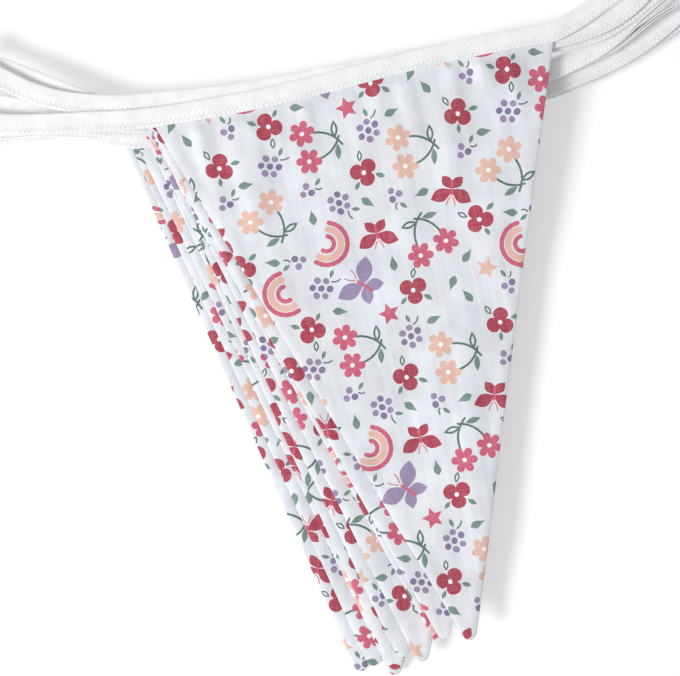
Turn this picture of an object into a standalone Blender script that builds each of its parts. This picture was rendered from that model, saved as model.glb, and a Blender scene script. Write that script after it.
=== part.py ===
# A string of bunting put away: nine cotton pennants on one long binding tape.
# The tape runs to and fro, so the pennants lie in a loose stack, the front one on top.
# Sizes are in millimetres up to the last step. X runs to the right along the top edge,
# Y up across the tape and Z up from the table.

import math

import bpy
import numpy as np

# Pennant: a turned triangle, two layers of cotton
WIDTH = 211.0  # at the fold of the tape
DEPTH = 305.0  # from that fold to where its two sides would cross
TIP_RADIUS = 3.8
CLOTH = 1.0  # both layers
BEAD = 1.5  # over the seam allowance along each side
BEAD_CREST, BEAD_FOOT = 3.0, 8.0  # distances of that roll from the side

# Binding tape: a strip folded in half, open downwards
TAPE = 10.0
WALL = 0.6
FOLD = 1.0  # cloth at the folded edge
SLOT_HELD = 1.6  # round a pennant
SLOT_SHUT = 0.4  # between pennants
PITCH = 3.1  # from one run of tape to the next over the pennants

GAP = 0.3  # between cloths that lie on each other
SLOPE = 0.42  # steepest that a pennant hangs over the edge of those below
CELL = 1.5  # of the height map

# Front to back. x and y: middle of the pennant's top edge. tilt: of its tape, degrees.
# lean: swing of the cloth from square to its tape, degrees.
# left, right: height of the tape's middle where that side's turn begins.
RUNS = (
    dict(x=5.1, y=137.0, tilt=12.0, lean=0.0, left=26.8, right=26.8),
    dict(x=-1.0, y=139.0, tilt=8.8, lean=1.8, left=24.7, right=22.4),
    dict(x=0.0, y=136.7, tilt=10.0, lean=0.0, left=20.3, right=20.3),
    dict(x=3.9, y=127.9, tilt=7.5, lean=0.0, left=18.2, right=15.9),
    dict(x=-0.5, y=130.5, tilt=6.4, lean=0.0, left=13.8, right=13.8),
    dict(x=0.5, y=123.8, tilt=5.5, lean=0.0, left=11.7, right=9.4),
    dict(x=-4.0, y=119.8, tilt=6.4, lean=0.0, left=7.3, right=7.3),
    dict(x=-10.2, y=124.3, tilt=5.4, lean=0.0, left=5.2, right=2.9),
    dict(x=-13.1, y=121.4, tilt=4.7, lean=0.0, left=0.8, right=0.8),
)

# Middle of the tape past the pennants, x and y from the pennant outwards, front to back
LEFT = (
    ((-119, 109), (-137, 108), (-155, 107), (-171, 107), (-188, 109)),
    ((-119, 118), (-134, 118), (-149, 121), (-165, 127)),
    ((-118, 117), (-131, 121), (-147, 127), (-165, 136)),
    ((-124, 112), (-142, 115), (-163, 117)),
    ((-124, 113), (-144, 113), (-164, 115)),
    ((-124, 109), (-141, 110), (-160, 110), (-175, 109)),
    ((-125, 107), (-142, 110), (-161, 109), (-176, 107)),
    ((-129, 107), (-143, 110), (-161, 108), (-177, 106)),
    ((-130, 107), (-144, 110), (-163, 108), (-178, 106)),
)
RIGHT = (
    ((127, 166), (140, 176), (153, 184)),
    ((133, 157), (147, 167), (159, 181)),
    ((132, 156), (148, 168), (163, 180)),
    ((136, 150), (152, 160.5), (164, 171)),
    ((138, 148.5), (154, 158.3), (167, 169)),
    ((140, 142), (157, 152), (172, 165)),
    ((125, 135), (141, 142), (157, 152), (174, 164)),
    ((125, 136), (142, 143), (158, 153), (175, 164)),
    ((125, 136), (142, 143), (159, 154), (177, 166), (199, 184)),
)
# Where the tape turns back, top pair of runs first: x, y and heading in degrees
LEFT_TURNS = ((-197, 146, 150), (-191, 121, 174), (-193, 107, 185), (-196, 104, 187))
RIGHT_TURNS = ((172, 197, 42), (187, 195, 44), (193, 185, 41), (200, 182, 41))
STUB = 7.0  # level end of each run, before its turn

# Degrees that a run's tape stands on edge at each point of RIGHT, by its number
ROLL = {4: (28, 76, 74), 5: (32, 76, 74)}

# Soft folds of the front pennant: u across, from v to v down it, half width, height
FOLDS = (
    dict(u=-83, lean=0.10, start=12, end=95, wide=7.0, high=1.3),
    dict(u=-62, lean=0.05, start=12, end=120, wide=8.0, high=1.6),
    dict(u=-32, lean=0.00, start=12, end=90, wide=7.0, high=1.2),
    dict(u=14, lean=-0.04, start=12, end=110, wide=8.0, high=1.5),
    dict(u=41, lean=-0.06, start=12, end=100, wide=7.0, high=1.2),
    dict(u=30, lean=-0.09, start=95, end=285, wide=9.0, high=1.3),
)

ROWS = (1.3, 10.6, 15, 21, 29, 40, 56, 78, 104, 132, 162, 192, 220, 246, 268, 284, 292, 296, 297.1)


def smooth(t):
    """0 to 1 with level ends."""
    t = np.clip(t, 0.0, 1.0)
    return t * t * (3 - 2 * t)


def half_width(v):
    """Half the pennant's width at v, with its rounded tip."""
    half_angle = math.atan(WIDTH / 2 / DEPTH)
    centre = DEPTH - TIP_RADIUS / math.sin(half_angle)
    if v > centre + TIP_RADIUS * math.sin(half_angle):
        return math.sqrt(max(TIP_RADIUS**2 - (v - centre) ** 2, 0.3))
    return (DEPTH - v) * math.tan(half_angle)


def columns(v, spans):
    """Places across the pennant: its sides, the crest and foot of each side's roll, the rest."""
    half = half_width(v)
    crest, foot = min(BEAD_CREST, 0.25 * half), min(BEAD_FOOT, 0.55 * half)
    inner = np.linspace(-half + foot, half - foot, spans + 1)
    return np.concatenate([[-half, -half + crest], inner, [half - crest, half]])


def bow(u):
    """The slight wave of the tape along a pennant's top edge."""
    t = np.clip(u / WIDTH + 0.5, 0, 1)
    return -1.6 * np.sin(2 * math.pi * t) - 0.8 * np.sin(math.pi * t)


def place(run, u, v):
    """Plan position of a point of the run's pennant, u across from its middle and v down."""
    u, v = np.broadcast_arrays(np.asarray(u, float), np.asarray(v, float))
    tilt = math.radians(run["tilt"])
    along = u + math.tan(math.radians(run["lean"])) * v
    across = bow(u) * (1 - smooth((v - 12) / 80)) - v
    x = run["x"] + along * math.cos(tilt) - across * math.sin(tilt)
    y = run["y"] + along * math.sin(tilt) + across * math.cos(tilt)
    return np.stack([x, y], -1)


def held_height(number):
    return WALL + SLOT_HELD / 2 + PITCH * (len(RUNS) - number)


# Height map of the stack

X0, Y0 = -205.0, -195.0
NX, NY = 280, 275


def shifted(field, dx, dy):
    return np.roll(np.roll(field, dx, 1), dy, 0)


def eased(field):
    """The field as cloth lies on it: nowhere steeper than SLOPE, then softened, never below."""
    steps = [(1, 0, 1.0), (-1, 0, 1.0), (0, 1, 1.0), (0, -1, 1.0)]
    steps += [(1, 1, 1.414), (1, -1, 1.414), (-1, 1, 1.414), (-1, -1, 1.414)]
    result = field
    for _ in range(45):
        for dx, dy, far in steps:
            result = np.maximum(result, shifted(result, dx, dy) - SLOPE * CELL * far)
    for axis in (0, 1):
        result = np.max([np.roll(result, n, axis) for n in range(-5, 6)], axis=0)
    for reach in (2, 3):
        for axis in (0, 1):
            result = np.mean([np.roll(result, n, axis) for n in range(-reach, reach + 1)], axis=0)
    return result


def sample(field, plan):
    """The field between its cells at plan points."""
    gx = np.clip((plan[..., 0] - X0) / CELL, 0, NX - 1.001)
    gy = np.clip((plan[..., 1] - Y0) / CELL, 0, NY - 1.001)
    ix, iy = gx.astype(int), gy.astype(int)
    fx, fy = gx - ix, gy - iy
    low = field[iy, ix] * (1 - fx) + field[iy, ix + 1] * fx
    high = field[iy + 1, ix] * (1 - fx) + field[iy + 1, ix + 1] * fx
    return low * (1 - fy) + high * fy


def covered(plan, triangles):
    """Cells under each triangle: their places, the triangle's corners and the weights of these."""
    places, corners, weights = [], [], []
    for triangle in triangles:
        a, b, c = ((plan[i] - (X0, Y0)) / CELL for i in triangle)
        low = np.floor(np.minimum(np.minimum(a, b), c)).astype(int)
        high = np.ceil(np.maximum(np.maximum(a, b), c)).astype(int) + 1
        area = (b[0] - a[0]) * (c[1] - a[1]) - (c[0] - a[0]) * (b[1] - a[1])
        if abs(area) < 1e-6:
            continue
        gx, gy = np.meshgrid(np.arange(low[0], high[0]), np.arange(low[1], high[1]))
        wb = ((gx - a[0]) * (c[1] - a[1]) - (c[0] - a[0]) * (gy - a[1])) / area
        wc = ((b[0] - a[0]) * (gy - a[1]) - (gx - a[0]) * (b[1] - a[1])) / area
        weight = np.stack([1 - wb - wc, wb, wc], -1)
        inside = (weight > -0.12).all(-1)
        places.append(np.stack([gy[inside], gx[inside]], -1))
        weights.append(weight[inside])
        corners.append(np.broadcast_to(triangle, (inside.sum(), 3)))
    return np.concatenate(places), np.concatenate(corners), np.concatenate(weights)


def heap(heights, cover, z):
    """Raises the height map to the heights z of a surface's points."""
    places, corners, weights = cover
    level = (z[corners] * weights).sum(1)
    np.maximum.at(heights, (places[:, 0], places[:, 1]), level)


def grid_triangles(rows, cols):
    first = np.arange(rows * cols).reshape(rows, cols)
    a, b, c, d = first[:-1, :-1], first[:-1, 1:], first[1:, 1:], first[1:, :-1]
    return np.concatenate([np.stack([a, b, c], -1), np.stack([a, c, d], -1)]).reshape(-1, 3)


def relief(u, v):
    """Height of the front pennant's soft folds at u, v."""
    total = np.zeros_like(u)
    for fold in FOLDS:
        along = smooth((v - fold["start"]) / 25) * smooth((fold["end"] - v) / 40)
        off = (u - fold["u"] - fold["lean"] * (v - fold["start"])) / fold["wide"]
        total += fold["high"] * along * np.exp(-off * off)
    return total


def drape(number, heights):
    """The pennant's lower face on the stack below, as plan and height, and its thickness."""
    run = RUNS[number - 1]
    spans = 12 if number == 1 else 5
    u = np.array([columns(v, spans) for v in ROWS])
    v = np.broadcast_to(np.array(ROWS)[:, None], u.shape)
    plan = place(run, u, v)

    beyond = np.array([half_width(row) for row in ROWS])[:, None] - np.abs(u)
    bead = smooth(beyond / BEAD_CREST) * (1 - smooth((beyond - BEAD_CREST) / (BEAD_FOOT - BEAD_CREST)))
    bead *= smooth((v - 12) / 12)
    thick = CLOTH + (BEAD - CLOTH) * bead

    need = np.where(heights > 0, heights + GAP + 0.1, 0.0)
    rest = sample(eased(need), plan)
    held = held_height(number) - CLOTH / 2
    bottom = rest + (held - rest) * (1 - smooth((v - 10.6) / 30))
    if number == 1:
        bottom += relief(u, v)
    bottom[:2] = held

    flat = plan.reshape(-1, 2)
    cover = covered(flat, grid_triangles(*u.shape))
    places, corners, weights = cover
    z = bottom.reshape(-1).copy()
    free = (v > 10.7).reshape(-1)
    for _ in range(8):
        short = need[places[:, 0], places[:, 1]] - (z[corners] * weights).sum(1)
        lift = np.zeros_like(z)
        for corner in range(3):
            np.maximum.at(lift, corners[:, corner], short)
        z += np.where(free, np.maximum(lift, 0), 0)
    heap(heights, cover, z + thick.reshape(-1) * 1.05)
    return plan, z.reshape(u.shape), bead


def through(points, parts):
    """A smooth curve through the points, each step cut into parts."""
    p = np.array(points, float)
    p = np.concatenate([[2 * p[0] - p[1]], p, [2 * p[-1] - p[-2]]])
    found = []
    for i in range(1, len(p) - 2):
        for t in np.arange(parts) / parts:
            a = 2 * p[i]
            b = (p[i + 1] - p[i - 1]) * t
            c = (2 * p[i - 1] - 5 * p[i] + 4 * p[i + 1] - p[i + 2]) * t * t
            d = (-p[i - 1] + 3 * p[i] - 3 * p[i + 1] + p[i + 2]) * t**3
            found.append((a + b + c + d) / 2)
    return np.array(found + [p[-2]])


def turn_at(number, side):
    """The turn that a run ends in on that side, or None at the tape's free ends."""
    pair = (number - 1) // 2 if side == "right" else number // 2 - 1
    turns = RIGHT_TURNS if side == "right" else LEFT_TURNS
    return turns[pair] if 0 <= pair < len(turns) else None


def free_path(number, side, start):
    """Middle of the tape from a pennant's corner to the run's end, and where it is level again."""
    points = [start, *(RIGHT if side == "right" else LEFT)[number - 1]]
    turn = turn_at(number, side)
    if turn is None:
        path = through(points, 2)[1:]
        return path, len(path) - 1
    x, y, heading = turn
    way = np.array([math.cos(math.radians(heading)), math.sin(math.radians(heading))])
    points.append(np.array([x, y]) - STUB * way)
    path = through(points, 2)[1:]
    return np.concatenate([path, [[x, y]]]), len(path) - 1


def run_of_tape(number):
    """Stations of one run from left to right: middle, direction across it and slot width."""
    run = RUNS[number - 1]
    top = columns(ROWS[0], 12 if number == 1 else 5)
    reach = half_width(ROWS[0])
    us = np.concatenate([[-reach - 6, -reach - 2], top[[0]], top[2:-2], top[[-1]], [reach + 2, reach + 6]])
    straight = place(run, us, TAPE / 2)
    level = held_height(number)
    paths, heights = {}, {}
    for side, corner in (("left", straight[0]), ("right", straight[-1])):
        path, last = free_path(number, side, corner)
        far = np.linalg.norm(path - corner, axis=1)
        paths[side] = path
        heights[side] = level + (run[side] - level) * smooth(far / far[last])
    left, right = paths["left"], paths["right"]
    plan = np.concatenate([left[::-1], straight, right])
    z = np.concatenate([heights["left"][::-1], np.full(len(straight), level), heights["right"]])

    slot = np.full(len(plan), SLOT_SHUT)
    slot[len(left) + 1 : len(plan) - len(right) - 1] = SLOT_HELD
    roll = np.zeros(len(plan))
    if number in ROLL:
        knots = through([(0, 0), *((i + 1, r) for i, r in enumerate((*ROLL[number], 0)))], 2)[1:]
        roll[-len(right) : -1] = np.radians(np.clip(knots[:, 1], 0, 80))

    tangent = np.gradient(plan, axis=0)
    tangent /= np.linalg.norm(tangent, axis=1)[:, None]
    down = np.stack([tangent[:, 1], -tangent[:, 0], np.zeros(len(plan))], -1)
    across = down * np.cos(roll)[:, None] + np.array([0, 0, 1.0]) * np.sin(roll)[:, None]
    return np.concatenate([plan, z[:, None]], 1), across, slot


def turn_back(start, end, before):
    """Stations of the half circle from one run's end to the start of the run above or below."""
    out = (start - before) * (1, 1, 0)
    out /= np.linalg.norm(out)
    angle = np.arange(1, 6)[:, None] * math.pi / 6
    radius = np.linalg.norm(start - end) / 2
    return (start + end) / 2 + (start - end) / 2 * np.cos(angle) + radius * out * np.sin(angle)


def tape_stations():
    """The whole tape, from the front run's free end to the back run's."""
    middle, across, slot = run_of_tape(1)
    for number in range(2, len(RUNS) + 1):
        m, a, s = run_of_tape(number)
        if number % 2 == 0:
            m, a, s = m[::-1], a[::-1], s[::-1]
        bend = turn_back(middle[-1], m[0], middle[-2])
        part = np.arange(1, 6)[:, None] / 6
        middle = np.concatenate([middle, bend, m])
        across = np.concatenate([across, across[-1] * (1 - part) + a[0] * part, a])
        slot = np.concatenate([slot, np.full(5, SLOT_SHUT), s])
    return middle, across, slot


def tape_solid():
    """Points and faces of the folded tape: its U section at each station, closed at both ends."""
    middle, across, slot = tape_stations()
    along = np.gradient(middle, axis=0)
    along /= np.linalg.norm(along, axis=1)[:, None]
    across = across - (across * along).sum(1)[:, None] * along
    across /= np.linalg.norm(across, axis=1)[:, None]
    normal = np.cross(across, along)
    rings = []
    for m, w, n, s in zip(middle, across, normal, slot):
        edge, thick = TAPE / 2, s / 2 + WALL
        section = (
            (edge, -thick),
            (0.7 - edge, -thick),
            (-edge, -0.4 * thick),
            (-edge, 0.4 * thick),
            (0.7 - edge, thick),
            (edge, thick),
            (edge, s / 2),
            (FOLD - edge, s / 2),
            (FOLD - edge, -s / 2),
            (edge, -s / 2),
        )
        rings.append([m + w * a + n * b for a, b in section])
    count = len(rings[0])
    faces = []
    for i in range(len(rings) - 1):
        for j in range(count):
            k = (j + 1) % count
            a, b, c, d = i * count + j, i * count + k, (i + 1) * count + k, (i + 1) * count + j
            # One way of cutting the quads all round keeps the thin walls apart where the tape twists
            faces += [(a, b, d), (b, c, d)] if section[j][0] > section[k][0] else [(a, b, c), (a, c, d)]
    for base, order in ((0, -1), ((len(rings) - 1) * count, 1)):
        for quad in ((0, 1, 8, 9), (1, 2, 3, 8), (3, 4, 7, 8), (4, 5, 6, 7)):
            faces.append([base + j for j in quad[::order]])
    return np.array(rings).reshape(-1, 3), faces


def heap_tape(number, heights):
    """Raises the height map to the top of one run of tape."""
    middle, across, slot = run_of_tape(number)
    normal = np.cross(across, np.gradient(middle, axis=0))
    normal /= np.linalg.norm(normal, axis=1)[:, None]
    thick = (slot / 2 + WALL)[:, None]
    sides = np.stack([middle - across * TAPE / 2, middle + across * TAPE / 2], 1) + (normal * thick)[:, None]
    points = sides.reshape(-1, 3)
    heap(heights, covered(points[:, :2], grid_triangles(len(middle), 2)), points[:, 2])


# Objects

for old in list(bpy.data.objects):
    bpy.data.objects.remove(old, do_unlink=True)

collection = bpy.data.collections.new("fabric_bunting")
bpy.context.scene.collection.children.link(collection)


def fabric(name, colour, roughness):
    material = bpy.data.materials.new(name)
    material.use_nodes = True
    shader = material.node_tree.nodes["Principled BSDF"]
    shader.inputs["Base Color"].default_value = (*colour, 1)
    shader.inputs["Roughness"].default_value = roughness
    return material


def mesh_object(name, points, faces, material):
    mesh = bpy.data.meshes.new(name)
    mesh.from_pydata((points * 0.001).tolist(), [], faces)
    mesh.validate()
    mesh.materials.append(material)
    obj = bpy.data.objects.new(name, mesh)
    collection.objects.link(obj)
    return obj


heights = np.zeros((NY, NX))
sheets = {}
for number in range(len(RUNS), 0, -1):
    sheets[number] = drape(number, heights)
    heap_tape(number, heights)

tape_points, tape_faces = tape_solid()
everything = np.concatenate([tape_points] + [
    np.concatenate([plan, z[..., None]], -1).reshape(-1, 3) for plan, z, _ in sheets.values()
])
low, high = everything.min(0), everything.max(0)
shift = -np.array([(low[0] + high[0]) / 2, (low[1] + high[1]) / 2, low[2]])

for number, (plan, z, bead) in sorted(sheets.items()):
    rows, cols = z.shape
    points = np.concatenate([plan, z[..., None]], -1).reshape(-1, 3) + shift
    index = np.arange(rows * cols).reshape(rows, cols)
    quads = np.stack([index[:-1, :-1], index[1:, :-1], index[1:, 1:], index[:-1, 1:]], -1)
    print_cloth = fabric(f"printed_cotton_{number}", (0.93, 0.93, 0.94), 0.85)
    pennant = mesh_object(f"pennant_{number}", points, quads.reshape(-1, 4).tolist(), print_cloth)
    roll = pennant.vertex_groups.new(name="side_roll")
    for i, weight in enumerate(bead.reshape(-1)):
        roll.add([i], float(weight), "REPLACE")
    solid = pennant.modifiers.new("two layers", "SOLIDIFY")
    solid.thickness = BEAD * 0.001
    solid.offset = 1.0
    solid.vertex_group = "side_roll"
    solid.thickness_vertex_group = CLOTH / BEAD

tape = mesh_object("binding_tape", tape_points + shift, tape_faces, fabric("binding_cotton", (0.95, 0.95, 0.95), 0.8))
print("size mm", (high - low).round(1), "shift", shift.round(2))
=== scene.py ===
# %% [markdown]
# # Fabric bunting, put away as a stack
# Nine printed cotton pennants hang on one long white binding. Here the string has been
# gathered up: the binding runs to and fro and the pennants lie on each other, seen from
# straight above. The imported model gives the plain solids, and this lesson dresses them
# with real cloth shapes, a print, seams and stitching. Sizes are worked out in
# millimetres and turned into metres when a mesh is made.

# %% The frame
import math

import bpy
import numpy as np
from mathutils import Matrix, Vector
from mathutils.geometry import delaunay_2d_cdt


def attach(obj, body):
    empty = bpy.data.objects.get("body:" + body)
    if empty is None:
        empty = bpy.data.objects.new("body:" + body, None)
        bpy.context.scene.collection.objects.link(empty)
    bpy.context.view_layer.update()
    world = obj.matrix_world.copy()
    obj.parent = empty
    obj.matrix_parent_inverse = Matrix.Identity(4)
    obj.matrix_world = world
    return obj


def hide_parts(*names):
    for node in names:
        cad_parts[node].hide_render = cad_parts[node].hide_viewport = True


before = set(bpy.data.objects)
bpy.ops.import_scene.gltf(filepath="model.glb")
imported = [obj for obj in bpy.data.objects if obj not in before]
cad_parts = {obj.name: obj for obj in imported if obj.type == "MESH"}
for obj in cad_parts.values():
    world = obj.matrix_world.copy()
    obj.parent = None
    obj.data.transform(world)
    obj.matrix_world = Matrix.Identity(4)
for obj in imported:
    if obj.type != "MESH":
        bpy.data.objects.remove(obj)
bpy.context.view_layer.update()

# %% [markdown]
# ## Camera
# The picture was taken from straight above, a little over half a metre away, so the
# upper pennants look larger than the lower ones. A lens length and a height give that,
# and a new camera already looks straight down.

# %% Camera
MM = 0.001
SHIFT = np.array([-1.72, -13.43, 0.0])  # from the layout below to the middle of the frame, mm
CAMERA_HEIGHT = 0.578
SENSOR = 36.0
LENS = SENSOR * 550 / 340  # shows 340 mm across at 550 mm away


def add_object(name, data):
    """A new object of that data, linked into the scene."""
    made = bpy.data.objects.new(name, data)
    bpy.context.collection.objects.link(made)
    return made


camera = add_object("camera", bpy.data.cameras.new("camera"))
camera.location = (SHIFT[0] * MM, SHIFT[1] * MM, CAMERA_HEIGHT)
camera.data.sensor_width = SENSOR
camera.data.lens = LENS
camera.data.clip_start = 0.01
bpy.context.scene.camera = camera
print("camera over", camera.location[:], "lens", round(LENS, 2))

# %% [markdown]
# ## The cut and how it is laid
# A pennant is two triangles of cotton sewn together and turned out, so its long sides are
# thicker where the seam allowance is rolled in. The binding is a strip folded over its top
# edge. The tables say where the middle of each pennant's top edge lies, how far its
# tape is tilted, and which way the tape runs from one pennant to the next.

# %% Sizes and layout
WIDTH, DEPTH, TIP_RADIUS = 211.0, 305.0, 3.8  # at the fold; down to where the sides cross
CLOTH, BEAD = 1.0, 1.5  # two layers; over the seam allowance
BEAD_CREST, BEAD_FOOT = 3.0, 8.0  # distances of that roll from the side
TAPE, WALL, FOLD = 10.0, 0.6, 1.0  # folded width, cloth of one leg, cloth at the fold
SLOT_HELD, SLOT_SHUT = 1.6, 0.4  # inside the tape, round a pennant and between pennants
PITCH, GAP = 3.1, 0.3  # from tape to tape over the pennants; between cloths
TOP, TIP = 1.3, 297.1  # ends of a pennant, from the fold of its tape
HELD_TO, FREE_FROM = 10.6, 12.0  # level with the tape down to here; with folds and seams below

# middle of each top edge in the plan, tilt of the tape and lean of the cloth in degrees,
# heights that the tape falls to at its left and right ends
RUNS = [dict(zip(("x", "y", "tilt", "lean", "left", "right"), row)) for row in (
    (5.1, 137.0, 12.0, 0.0, 26.8, 26.8),
    (-1.0, 139.0, 8.8, 1.8, 24.7, 22.4),
    (0.0, 136.7, 10.0, 0.0, 20.3, 20.3),
    (3.9, 127.9, 7.5, 0.0, 18.2, 15.9),
    (-0.5, 130.5, 6.4, 0.0, 13.8, 13.8),
    (0.5, 123.8, 5.5, 0.0, 11.7, 9.4),
    (-4.0, 119.8, 6.4, 0.0, 7.3, 7.3),
    (-10.2, 124.3, 5.4, 0.0, 5.2, 2.9),
    (-13.1, 121.4, 4.7, 0.0, 0.8, 0.8),
)]
# the tape's way beside the pennants, outwards, for every run
WAYS = {"left": (
    ((-119, 109), (-137, 108), (-155, 107), (-171, 107), (-188, 109)),
    ((-119, 118), (-134, 118), (-149, 121), (-165, 127)),
    ((-118, 117), (-131, 121), (-147, 127), (-165, 136)),
    ((-124, 112), (-142, 115), (-163, 117)),
    ((-124, 113), (-144, 113), (-164, 115)),
    ((-124, 109), (-141, 110), (-160, 110), (-175, 109)),
    ((-125, 107), (-142, 110), (-161, 109), (-176, 107)),
    ((-129, 107), (-143, 110), (-161, 108), (-177, 106)),
    ((-130, 107), (-144, 110), (-163, 108), (-178, 106)),
), "right": (
    ((127, 166), (140, 176), (153, 184)),
    ((133, 157), (147, 167), (159, 181)),
    ((132, 152), (148, 166.2), (163, 179.4)),
    ((136, 150), (152, 160.5), (164, 171)),
    ((138, 148.5), (154, 158.3), (167, 169)),
    ((140, 142), (157, 152), (172, 165)),
    ((125, 135), (141, 142), (157, 152), (174, 164)),
    ((125, 136), (142, 143), (158, 153), (175, 164)),
    ((125, 136), (142, 143), (159, 154), (177, 166), (199, 184)),
)}
# turns between two runs: place, and heading of the tape there in degrees
TURNS = {
    "left": ((-197, 146, 150), (-191, 121, 174), (-193, 107, 185), (-196, 104, 187)),
    "right": ((172, 197, 42), (187, 195, 44), (193, 185, 41), (200, 182, 41)),
}
STUB = 7.0  # straight before each turn
ROLL = {4: (28, 76, 74), 5: (32, 76, 74)}  # tape standing on edge at the right, degrees
# soft folds of the front cloth: place across, slope, start and end down, half width, height
FOLDS = (
    (-83, 0.10, 12, 95, 7.0, 1.3),
    (-62, 0.05, 12, 120, 8.0, 1.6),
    (-32, 0.00, 12, 90, 7.0, 1.2),
    (14, -0.04, 12, 110, 8.0, 1.5),
    (41, -0.06, 12, 100, 7.0, 1.2),
    (30, -0.09, 95, 285, 9.0, 1.3),
)
COUNT = len(RUNS)
SLANT = math.atan(WIDTH / 2 / DEPTH)
TIP_CENTRE = DEPTH - TIP_RADIUS / math.sin(SLANT)
HALF_TOP = (DEPTH - TOP) * math.tan(SLANT)  # half the width at the top end
HALF_TAPE = TAPE / 2
print(COUNT, "pennants", WIDTH, "by", TIP)


# %% [markdown]
# ## From the flat cut to the pile
# Every point of a pennant has two numbers: `u` across from its middle and `v` down from the
# fold of the tape. One function says how far a point is from the edge, another where it
# lies in the plan. All later shapes are built on these two.

# %% Flat cut and plan
def smooth(t):
    """0 to 1 with level ends: 3t^2 - 2t^3."""
    t = np.clip(t, 0.0, 1.0)
    return t * t * (3 - 2 * t)


def from_side(u, v):
    """Distance in from the nearer long side; round the tip, radius less distance to its centre."""
    straight = (DEPTH - v) * math.sin(SLANT) - np.abs(u) * math.cos(SLANT)
    rounded = TIP_RADIUS - np.hypot(u, v - TIP_CENTRE)
    return np.where(np.abs(u) * math.tan(SLANT) < v - TIP_CENTRE, rounded, straight)


def bow(u):
    """The slight wave of the tape along a top edge: one full sine less half a sine."""
    t = np.clip(u / WIDTH + 0.5, 0, 1)
    return -1.6 * np.sin(2 * math.pi * t) - 0.8 * np.sin(math.pi * t)


def place(run, u, v):
    """Plan position of u, v: the cloth leans, the top edge bows, and all turns with the tape."""
    u, v = np.broadcast_arrays(u, v)
    tilt = math.radians(run["tilt"])
    along = u + math.tan(math.radians(run["lean"])) * v
    across = bow(u) * (1 - smooth((v - FREE_FROM) / 80)) - v
    x = run["x"] + along * math.cos(tilt) - across * math.sin(tilt)
    y = run["y"] + along * math.sin(tilt) + across * math.cos(tilt)
    return np.stack([x, y], -1)


def held_height(number):
    """Height of the middle of the tape over its pennant: one pitch for each tape below."""
    return WALL + SLOT_HELD / 2 + PITCH * (COUNT - number)


def waves(x, y, seed, scale, octaves=3):
    """Smooth hills of about that size in mm, -1 to 1: a few sines in seeded directions."""
    chance = np.random.default_rng(seed)
    total, weight = 0.0, 0.0
    for octave in range(octaves):
        for _ in range(5):
            angle, phase = chance.uniform(0, 2 * math.pi, 2)
            pull = 2 * math.pi / scale * 1.8**octave * chance.uniform(0.7, 1.3)
            height = 0.6**octave
            along = x * math.cos(angle) + y * math.sin(angle)
            total = total + height * np.sin(along * pull + phase)
            weight += height**2
    return total / math.sqrt(weight) / 1.6


print("corner of the front pennant", place(RUNS[0], -WIDTH / 2, 0).round(1))


# %% [markdown]
# ## The middle of the tape
# On the real string the binding is one strip. It holds a pennant, leaves it, turns back in
# a loop and comes to the next pennant. The path is a smooth curve through the tables'
# points, with a half circle at each turn; where the tape is held it is straight and level.

# %% Path of the tape
BEND_STEPS = 6  # of a half circle


def through(points, parts):
    """A smooth curve through the points: each step is a cubic that meets its neighbours' slope."""
    p = np.array([np.asarray(q, float) for q in points])
    p = np.concatenate([[2 * p[0] - p[1]], p, [2 * p[-1] - p[-2]]])
    t = (np.arange(parts) / parts)[None, :, None]
    a, b, c, d = (p[i : len(p) - 3 + i, None] for i in range(4))
    bend, twist = 2 * a - 5 * b + 4 * c - d, 3 * b - a - 3 * c + d
    curve = (2 * b + (c - a) * t + bend * t**2 + twist * t**3) / 2
    return np.concatenate([curve.reshape(-1, p.shape[1]), p[-2:-1]])


def unit(rows):
    return rows / np.linalg.norm(rows, axis=1)[:, None]


def distances(points):
    """How far every point lies along the line through them: the sum of the steps before it."""
    return np.concatenate([[0], np.cumsum(np.linalg.norm(np.diff(points, axis=0), axis=1))])


def finer(points, parts):
    """Cuts every step into parts on cubics whose slopes are worked out over the real distances."""
    far = distances(points[:, :3])
    slope, step = np.gradient(points, far, axis=0), np.diff(far)[:, None, None]
    t = (np.arange(parts) / parts)[None, :, None]
    a, b = points[:-1, None], points[1:, None]
    da, db = slope[:-1, None] * step, slope[1:, None] * step
    curve = a + t * da + t**2 * (3 * (b - a) - 2 * da - db) + t**3 * (2 * (a - b) + da + db)
    return np.concatenate([curve.reshape(-1, points.shape[1]), points[-1:]])


def heading(degrees):
    """The unit vector that points that way in the plan."""
    return np.array([math.cos(math.radians(degrees)), math.sin(math.radians(degrees))])


# %% Runs and turns
def turn_at(number, side):
    """The turn that a run ends in, or None at the two free ends."""
    pair = (number - 1) // 2 if side == "right" else number // 2 - 1
    return TURNS[side][pair] if 0 <= pair < len(TURNS[side]) else None


def free_path(number, side, start):
    """Middle of the tape and its height, from a corner to the run's end; level on the stub."""
    points = [start, *WAYS[side][number - 1]]
    turn = turn_at(number, side)
    if turn:
        points.append(np.array(turn[:2]) - STUB * heading(turn[2]))
    path = through(points, 2)[1:]
    reach = np.linalg.norm(path[-1] - start)
    if turn:
        path = np.concatenate([path, [turn[:2]]])
    level = held_height(number)
    fallen = smooth(np.linalg.norm(path - start, axis=1) / reach)
    return path, level + (RUNS[number - 1][side] - level) * fallen


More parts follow.
